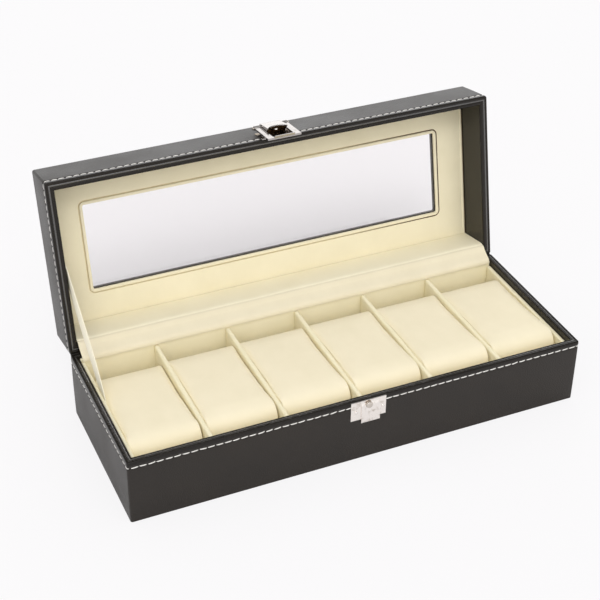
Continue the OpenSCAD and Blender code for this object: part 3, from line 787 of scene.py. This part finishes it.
pillow_velour = pile_finish(
    "pillow velour", (0.89, 0.81, 0.595), (0.95, 0.865, 0.655), 0.15, 0.03 * mm)
pillows = [
    pillow_case(f"pillow_{number}_case", centre_x, top * mm, back_top * mm)
    for number, (centre_x, (top, back_top)) in enumerate(zip(pillow_x, pillow_tops), 1)]
fill_cases(pillows, pressure=4.0, frames=16, cap=0.9 * mm)
for number, (centre_x, pillow) in enumerate(zip(pillow_x, pillows), 1):
    shape = points_of(pillow.data)
    reach = pillow_half + case_slack
    shape[:, 0] -= left_stretch * np.clip((centre_x - shape[:, 0]) / pillow_half, 0, 1)
    shape[:, 0] = np.clip(shape[:, 0], centre_x - reach - case_slack, centre_x + reach)
    shape[:, 2] = np.maximum(shape[:, 2], pillow_low)
    set_points(pillow.data, shape)
    smooth = pillow.modifiers.new("smooth", "SUBSURF")
    smooth.levels = 1
    smooth.render_levels = 1
    pillow.data.materials.append(pillow_velour)
    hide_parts(f"pillow_{number}")
    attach(pillow, f"pillow_{number}")

# ----------------------------------------
# The lid is built as the base is, and stands open on its hinge. Its pieces are
# worked out shut, and then turned about the hinge line between the two rims.

lid_angle = math.radians(102)
hinge_y = box_w / 2
hinge_z = 45.5 * mm
lid_z = 45.7 * mm
panel_z = 72.5 * mm
panel_t = 4.3 * mm
mat_z = 71.3 * mm
lid_wall_t = 5.5 * mm
turned_short = 1.5 * mm


def opened(points):
    """Points of the shut lid turned back about the hinge line by the lid's angle."""
    points = np.array(points, float)
    y, z = points[..., 1] - hinge_y, points[..., 2] - hinge_z
    points[..., 1] = hinge_y + y * math.cos(lid_angle) + z * math.sin(lid_angle)
    points[..., 2] = hinge_z - y * math.sin(lid_angle) + z * math.cos(lid_angle)
    return points


def open_up(piece):
    """Turns a piece of the shut lid to where the open lid holds it."""
    set_points(piece.data, opened(points_of(piece.data)))


paint_nodes(fibreboard, [
    "lid_front_board", "lid_back_board", "lid_left_board", "lid_right_board", "top_board"])

wall_h = panel_z - lid_z
lid_cover = cover(
    "lid_cover", wall_h, 0.0, wall_h - turned_short, stitch_drop, lid_wall_t, level_seam)
lid_points = points_of(lid_cover.data)
lid_points[:, 2] = panel_z - lid_points[:, 2]
set_points(lid_cover.data, lid_points)
lid_cover.data.flip_normals()
open_up(lid_cover)
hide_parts("lid_leather")
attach(lid_cover, "lid")

lid_seam = seam("lid_seam", lid_z + stitch_drop, level_seam, lid_pitch, turned_over=True)
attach(lid_seam, "lid")

# ----------------------------------------
# The top panel is a board with a window cut in it, padded and covered in one
# piece of leather that is cut out and turned in round the window.

window_l = 245.2 * mm
window_w = 56.2 * mm
window_r = 0.9 * mm
window_at = np.array([-0.65, -0.9]) * mm
window_lip = 0.7 * mm
glass_top = panel_z + 1.5 * mm
panel_top = panel_z + panel_t
leather_low = panel_top - 0.8 * mm
leather_t = 0.95 * mm
panel_crown = 0.16 * mm


def between(outer, inner, share):
    """Rows of points between two outlines, station by station, at each share of the way."""
    share = np.atleast_1d(share)[:, None, None]
    return outer[None] * (1 - share) + inner[None] * share


def raised(rows, height):
    """Rows of (x, y) points, each row lifted to its own height."""
    level = np.broadcast_to(height[:, None, None], (*rows.shape[:2], 1))
    return np.concatenate([rows, level], axis=-1)


def flat_outline(length, width, radius, depth):
    """One outline as (x, y) points."""
    x, y = outline(length, width, radius, depth)
    return np.stack([x[0], y[0]], axis=1)


# The rows climb the panel's edge, cross its top, which is crowned by the root of a sine,
# dip over the window's lip and run back underneath.
panel_edge = flat_outline(box_l, box_w, corner_r, 0.6 * mm)
window_edge = flat_outline(window_l, window_w, window_r, -window_lip) + window_at
top_share = np.linspace(0, 1, 14)
crown = panel_crown * np.sin(math.pi * top_share) ** 0.5
edge_depth, edge_height = bend([
    (0, panel_z), (0, panel_top), (0.65 * mm, panel_top)], 7, 0.6 * mm).T
rows = [carried(box_l, box_w, corner_r, edge_depth[:-1], edge_height[:-1])]
rows.append(raised(between(panel_edge, window_edge, top_share), panel_top + crown))
lip_depth, lip_height = bend([
    (-window_lip, panel_top), (0, panel_top), (0, glass_top), (-0.8 * mm, glass_top),
    (-0.8 * mm, leather_low), (-1.6 * mm, leather_low)], 6, 0.6 * mm).T
rows.append(carried(window_l, window_w, window_r, lip_depth[1:], lip_height[1:])
            + [*window_at, 0])
rows.append(carried(
    box_l, box_w, corner_r, np.full(2, leather_t), np.array([leather_low, panel_z])))
top_cover = skin("top_cover", np.concatenate(rows), around=True, across=True, inside_out=True)
open_up(top_cover)
top_cover.data.materials.append(leather)
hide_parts("top_leather")
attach(top_cover, "lid")

# ----------------------------------------
# The glass is a plain float pane that lies in a rebate of the top board. It is
# clear, with a very faint warm grey in its thickness.

glass, glass_shader = finish_of(
    "clear glass", Roughness=0.0, IOR=1.45, Transmission_Weight=1.0,
    Base_Color=(0.975, 0.955, 0.962, 1), Specular_IOR_Level=0.5)
smear = cloud_of(glass, place_of(glass), 24)
dress(glass, glass_shader, Roughness=span_of(glass, smear, 0.4, 0.7, 0.0, 0.02))
paint_nodes(glass, ["window_glass"])

# ----------------------------------------
# The mat is a card in cream velour that shuts the lid from inside. Its edge is
# turned up a little, and a corded bead runs round its window behind a crease.

mat_l = 288.2 * mm
mat_w = 100.4 * mm
hole_l = window_l + 0.6 * mm
hole_w = window_w + 0.6 * mm
hole_r = 1.2 * mm
bead_w = 2.0 * mm
bead_h = 0.45 * mm
groove_w = 0.75 * mm
mat_foot = panel_z - 0.02 * mm
mat_edge = 2.2 * mm
mat_r = 0.4 * mm
mat_puff = 0.10 * mm
hem = mat_z - 0.4 * mm
crease_z = mat_z + 0.9 * mm
bead_z = mat_z - bead_h


def crease_shade_finish():
    """Painted shade in the crease behind the bead: the velour darkened to tan, and to a deep brown
    towards the right end.
    """
    finish, shader = finish_of("velour painted with the crease's shade", Roughness=0.9, Specular_IOR_Level=0.1)
    place = place_of(finish)
    along = node_of(finish, "ShaderNodeSeparateXYZ", [("Vector", place)]).outputs["X"]
    share = span_of(finish, along, 0.04, 0.12, 0.0, 1.0)
    return dress(
        finish, shader,
        Base_Color=tint_of(finish, share, (0.74, 0.65, 0.44), (0.16, 0.10, 0.06)))


# The rows turn in round the mat's edge, cross its face, which bulges by a sine, and then
# follow the crease and the bead down to the mat's foot.
border = bend([
    (0, mat_foot), (0, hem), (1.1 * mm, hem), (1.5 * mm, mat_z), (mat_edge, mat_z)],
    5, 0.4 * mm)
mat_rows = [carried(mat_l, mat_w, mat_r, *border.T)]
mat_outer = flat_outline(mat_l, mat_w, mat_r, mat_edge)
mat_inner = flat_outline(hole_l, hole_w, hole_r, -bead_w - 2 * groove_w) + window_at
mat_share = np.linspace(0, 1, 12)[1:]
mat_bulge = mat_puff * np.sin(math.pi * mat_share)
mat_rows.append(raised(between(mat_outer, mat_inner, mat_share), mat_z - mat_bulge))
bead = bend([
    (-bead_w - 2 * groove_w, mat_z), (-bead_w - groove_w, mat_z), (-bead_w - groove_w, crease_z),
    (-bead_w, crease_z), (-bead_w, bead_z), (0, bead_z), (0, mat_foot),
    (-0.6 * mm, mat_foot)], 5, 0.55 * mm)
mat_rows.append(carried(hole_l, hole_w, hole_r, *bead[1:].T) + [*window_at, 0])
mat = skin("mat", np.concatenate(mat_rows), around=True, across=True)
# The faces in the crease get the velour painted with the crease's shade.
in_crease = (bead[1:, 1] > mat_z + 0.15 * mm) & (bead[1:, 0] < -bead_w + 0.05 * mm)
creased = np.concatenate([np.zeros(len(border) + len(mat_share), bool), in_crease])
mat.data.polygons.foreach_set(
    "material_index",
    np.repeat(creased | np.roll(creased, -1), len(stations[3])).astype(np.int32))
open_up(mat)
mat_velour = pile_finish("mat velour", (0.84, 0.765, 0.55), (0.90, 0.825, 0.61), 0.08)
mat.data.materials.append(mat_velour)
mat.data.materials.append(crease_shade_finish())
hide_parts("window_mat")
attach(mat, "lid")

# ----------------------------------------
# The hinge is a strip of the same leather glued across both back faces, and the
# cream lining that is carried over the two rims inside. Both are built bent round the
# hinge line, as the open lid holds them.

strip_half = box_l / 2 - 0.4 * mm
lining_half = 144.2 * mm
lining_t = 0.8 * mm
lid_lining_sway = 0.05 * mm
lining_sway = 0.12 * mm


def smooth_line(points, steps):
    """A Catmull-Rom curve through the points: between two points each coordinate is a cubic
    whose slopes are half the way between the neighbours."""
    points = np.asarray(points, float)
    points = np.concatenate([
        2 * points[:1] - points[1:2], points, 2 * points[-1:] - points[-2:-1]])
    t = np.linspace(0, 1, steps, endpoint=False)[:, None]
    line = []
    for p, q, r, s in zip(points[:-3], points[1:-2], points[2:-1], points[3:]):
        line.append(0.5 * (
            2 * q + (r - p) * t + (2 * p - 5 * q + 4 * r - s) * t ** 2
            + (3 * q - p - 3 * r + s) * t ** 3))
    return np.concatenate(line + [points[-2:-1]])


def strip_ends(rows, columns):
    """The faces that close both ends of a strip, whose ring goes out on one side of the
    cloth and back on the other."""
    first = np.array([0, rows - 1])[:, None] * columns
    out = first + np.arange(columns // 2 - 1)
    back = first + columns - 1 - np.arange(columns // 2 - 1)
    return np.stack([out, out + 1, back - 1, back], axis=-1).reshape(-1, 4).tolist()


def band(name, line, half_length, thick, sway=0.0, steps=80):
    """A strip of cloth along X whose section is the line in (y, z), with half its thickness
    on each side of it and its ends closed. It sways sideways by sines along its length."""
    way = unit(np.gradient(line, axis=0))
    side = np.stack([-way[:, 1], way[:, 0]], axis=1)
    ring = np.concatenate([line + side * thick / 2, (line - side * thick / 2)[::-1]])
    out = np.concatenate([side, side[::-1]])
    held = np.sin(math.pi * np.linspace(0, 1, len(line))) ** 2
    held = np.concatenate([held, held[::-1]])
    x = np.linspace(-half_length, half_length, steps)
    wave = np.sin(61 * x + 0.4) + 0.6 * np.sin(149 * x + 1.7) + 0.4 * np.sin(263 * x)
    grid = np.empty((steps, len(ring), 3))
    grid[..., 0] = x[:, None]
    grid[..., 1:] = ring[None] + (sway * wave[:, None] * held[None])[..., None] * out[None]
    piece = skin(name, grid, across=True, crease=60)
    sew_up(piece.data, strip_ends(*grid.shape[:2]))
    return piece


def lid_side(y, z):
    """A point of the shut lid's (y, z), in millimetres, where the open lid holds it."""
    return opened((0, y * mm, z * mm))[1:]


strip_line = smooth_line([
    (56.3 * mm, 33.5 * mm), (56.32 * mm, 37.3 * mm), (56.35 * mm, 41.3 * mm),
    (56.4 * mm, 43.9 * mm), lid_side(56.4, 47.1), lid_side(56.35, 49.7),
    lid_side(56.32, 53.7), lid_side(56.3, 57.5)], 8)
hinge_strip = band("hinge_strip", strip_line, strip_half, strip_t - 0.02 * mm)
hinge_strip.data.materials.append(leather)
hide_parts("hinge_leather")
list(lid_side(56.3, 47.3))
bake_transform(hinge_strip)

lid_lining_line = smooth_line([
    lid_side(49.4, 46.6), lid_side(48.75, 47.1), lid_side(48.3, 49.0), lid_side(48.2, 54.0),
    lid_side(48.15, 62.0), lid_side(48.1, 70.7)], 6)
lid_lining = band(
    "lid_lining_cloth", lid_lining_line, lining_half, lining_t, lid_lining_sway, 90)
# Painted light: the lid's lining is a brighter copy of the velour, which makes up for the shade on
# the lid's back wall.
lid_lining.data.materials.append(
    pile_finish("lid velour brightened with painted light", (0.90, 0.83, 0.62), (0.95, 0.885, 0.68), 0.10))
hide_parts("lid_back_lining")
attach(lid_lining, "lid")

lining_line = smooth_line([
    (48.3 * mm, 43.3 * mm), (48.3 * mm, 44.5 * mm), (48.8 * mm, 45.8 * mm), (50.2 * mm, 47.0 * mm),
    (52.3 * mm, 48.1 * mm), (54.8 * mm, 49.6 * mm), lid_side(49.4, 45.6), lid_side(49.2, 48.2),
    lid_side(49.15, 51.7)], 8)
hinge_lining = band(
    "hinge_lining_cloth", lining_line, lining_half, lining_t, lining_sway, 140)
# Painted shade: the hinge lining is a darker copy of the velour, which evens it with the lining of
# the lid, where less light falls.
hinge_lining.data.materials.append(
    pile_finish("hinge velour darkened with painted shade", (0.79, 0.715, 0.53), (0.85, 0.775, 0.585), 0.06))
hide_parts("hinge_lining")
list(lid_side(49.3, 45.8))
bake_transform(hinge_lining)

# ----------------------------------------
# A cream ribbon at the left end stops the lid. One end is glued to the liner,
# the other inside the lid's wall, and the ribbon hangs a little slack between.

ribbon_w = 9 * mm
ribbon_t = 0.4 * mm


def ribbon_finish():
    """Woven satin ribbon: fine ribs across it, and a silky shine."""
    finish, shader = finish_of(
        "cream ribbon", Sheen_Weight=0.1, Specular_IOR_Level=0.25, Roughness=0.55)
    ribs = node_of(
        finish, "ShaderNodeTexWave",
        [("Vector", place_of(finish)), ("Scale", 700.0), ("Distortion", 0.6)],
        wave_type="BANDS", bands_direction="DIAGONAL").outputs["Fac"]
    return dress(
        finish, shader,
        Base_Color=tint_of(finish, ribs, (0.93, 0.86, 0.66), (0.97, 0.925, 0.75)),
        Normal=relief_of(finish, ribs, 0.03 * mm))


ribbon_base_x = -142.8 * mm
ribbon_lid_x = -144.3 * mm
ribbon_foot = np.array([2.0, 30.3]) * mm
ribbon_a = np.array([10.0, 40.0]) * mm
ribbon_b = np.array(lid_side(1.0, 50.7))
ribbon_end = np.array(lid_side(0.0, 61.7))
sag = 4.8 * mm
ribbon_curl = 0.35 * mm
ribbon_bulge = 0.8 * mm
ribbon_twist = math.radians(6)
# The free part hangs by a parabola, and turns and curls by the root of a sine of the way.
way = np.linspace(0, 1, 25)
dip = sag * 4 * way * (1 - way)
free = ribbon_a + (ribbon_b - ribbon_a) * way[:, None]
free[:, 0] += dip / 2
free[:, 1] -= dip
glued_low = ribbon_foot + (ribbon_a - ribbon_foot) * np.linspace(0, 1, 6)[:-1, None]
glued_high = ribbon_b + (ribbon_end - ribbon_b) * np.linspace(0, 1, 6)[1:, None]
ribbon_line = np.concatenate([glued_low, free, glued_high])
aside = np.concatenate([
    np.zeros(len(glued_low)), np.maximum(0, (way - 0.3) / 0.7), np.ones(len(glued_high))])
ribbon_x = ribbon_base_x + (ribbon_lid_x - ribbon_base_x) * aside
heading = unit(np.gradient(ribbon_line, axis=0))
upright = np.stack([-heading[:, 1], heading[:, 0]], axis=1)
edge = np.linspace(-1, 1, 7)
free_share = np.concatenate([np.zeros(len(glued_low)), way, np.ones(len(glued_high))])
loose = np.sin(math.pi * free_share) ** 0.7
twist = ribbon_twist * loose
curl = ribbon_curl * loose[:, None] * (edge ** 2)[None]
face = np.empty((len(ribbon_line), len(edge), 3))
half_width = edge[None] * ribbon_w / 2
reach = half_width * np.cos(twist)[:, None]
face[..., 1:] = ribbon_line[:, None] + upright[:, None] * reach[..., None]
face[..., 0] = (
    (ribbon_x + ribbon_bulge * loose)[:, None] + curl + half_width * np.sin(twist)[:, None])
ply = np.array([ribbon_t / 2, 0, 0])
ribbon_grid = np.concatenate([face + ply, face[:, ::-1] - ply], axis=1)
ribbon = skin("ribbon", ribbon_grid, across=True, crease=60)
sew_up(ribbon.data, strip_ends(*ribbon_grid.shape[:2]))
ribbon.data.materials.append(ribbon_finish())
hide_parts("ribbon_stay")
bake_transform(ribbon)

# ----------------------------------------
# The keeper and the latch are stamped steel with bright nickel plating: plates
# nailed to the leather, a riveted stud, and a bail on a sprung pin under a hood.


def nickel_finish(name, dark, light):
    """Bright nickel: warm grey, with the fine streaks of the polishing wheel and a few
    cloudy spots."""
    finish, shader = finish_of(name, Metallic=1.0)
    streaks = cloud_of(finish, place_of(finish, (1, 1, 0.08)), 3400, 3.0, 0.6)
    smudge = cloud_of(finish, place_of(finish), 260, 4.0, 0.6)
    shine = joined_of(
        finish, span_of(finish, smudge, 0.3, 0.75, 0.10, 0.24),
        span_of(finish, streaks, 0.3, 0.7, 0.0, 0.06))
    patch = span_of(finish, smudge, 0.30, 0.46, 0.0, 1.0)
    return dress(
        finish, shader,
        Base_Color=tint_of(finish, patch, dark, light),
        Roughness=shine,
        Normal=relief_of(finish, streaks, 0.006 * mm))


def pressed(node, name, width, finish, steps=3, body="base", flat_angle=30, hood_shadow_finish=None):
    """A copy of a CAD node with its loose triangles merged, its flat faces joined, and its
    edges rounded off by that width, as a stamped and tumbled piece has them. A second
    finish, which paints the shadow under the hood, goes on the faces that look towards the latch's
    pin."""
    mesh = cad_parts[node].data.copy()
    mesh.name = name
    built = bmesh.new()
    built.from_mesh(mesh)
    bmesh.ops.remove_doubles(built, verts=built.verts, dist=0.004 * mm)
    bmesh.ops.dissolve_limit(
        built, angle_limit=math.radians(2), verts=built.verts, edges=built.edges)
    built.to_mesh(mesh)
    built.free()
    mesh.materials.clear()
    mesh.materials.append(finish)
    # Painted shadow: faces that look towards the pin take the dark finish.
    if hood_shadow_finish is not None:
        mesh.materials.append(hood_shadow_finish)
        for face in mesh.polygons:
            inward = (pin_middle - np.array(face.center)) @ np.array(face.normal)
            face.material_index = int(inward > 0.2 * mm)
    piece = placed(name, mesh, flat_angle)
    if width:
        rounding = piece.modifiers.new("rounding", "BEVEL")
        rounding.width = width
        rounding.segments = steps
        rounding.limit_method = "ANGLE"
        rounding.angle_limit = math.radians(40)
        rounding.use_clamp_overlap = True
        rounding.harden_normals = True
    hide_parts(node)
    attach(piece, body)
    return piece


pin_middle = np.array([latch_x, *lid_side(-59.9, 60.7)])
nickel = nickel_finish("bright nickel", (0.62, 0.555, 0.49), (0.93, 0.875, 0.83))
# Painted shade: the latch's nickel is a darker copy of the keeper's bright nickel, so that its
# plates don't turn white in the lamps' light.
latch_nickel_dimmed = nickel_finish(
    "latch nickel darkened with painted shade", (0.34, 0.315, 0.295), (0.46, 0.435, 0.42))
worn_nickel = nickel_finish("patchy nickel", (0.08, 0.065, 0.05), (0.66, 0.60, 0.54))
# Painted shadow: a nearly black nickel goes on the faces under the hood, in place of the shadow
# that falls there.
hood_shadow_nickel = nickel_finish("nickel painted with the shadow under the hood", (0.05, 0.035, 0.02), (0.20, 0.14, 0.08))
pressed("keeper_plate", "keeper", 0.16 * mm, nickel)
pressed("keeper_stud", "catch_stud", 0.1 * mm, worn_nickel)
pressed("keeper_nails", "keeper_pins", 0.08 * mm, nickel)
pressed("latch_plate", "latch_hood", 0.12 * mm, latch_nickel_dimmed, body="lid", hood_shadow_finish=hood_shadow_nickel)
pressed("latch_nails", "latch_tacks", 0.08 * mm, latch_nickel_dimmed, body="lid")
pressed("latch_pin", "pivot_pin", 0.1 * mm, worn_nickel, body="lid")
pressed("latch_spring", "spring", 0, worn_nickel, body="lid", flat_angle=75)
pressed("latch_bail", "bail", 0.3 * mm, latch_nickel_dimmed, 4, body="latch_bail")

# A loop of the spring's wire hangs down under the hood and presses on the bail. Its wire is
# a circle carried along the loop's line.
loop_r = 0.55 * mm
loop_line = smooth_line(np.array([
    (-1.9, -58.6, 60.0), (-1.9, -58.9, 56.5), (-1.7, -59.4, 53.2), (-0.9, -59.8, 51.2),
    (0, -59.9, 50.6), (0.9, -59.8, 51.2), (1.7, -59.4, 53.2), (1.9, -58.9, 56.5),
    (1.9, -58.6, 60.0)]) * mm, 5)
loop_way = unit(np.gradient(loop_line, axis=0))
loop_side = unit(np.cross(loop_way, (0, 1, 0)))
loop_up = np.cross(loop_side, loop_way)
loop_turn = np.linspace(0, 2 * math.pi, 9)[:-1][None, :, None]
loop_grid = loop_line[:, None] + loop_r * (
    np.cos(loop_turn) * loop_side[:, None] + np.sin(loop_turn) * loop_up[:, None])
spring_loop = skin("spring_loop", opened(loop_grid + [latch_x, 0, 0]), across=True)
spring_loop.data.materials.append(nickel)
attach(spring_loop, "lid")
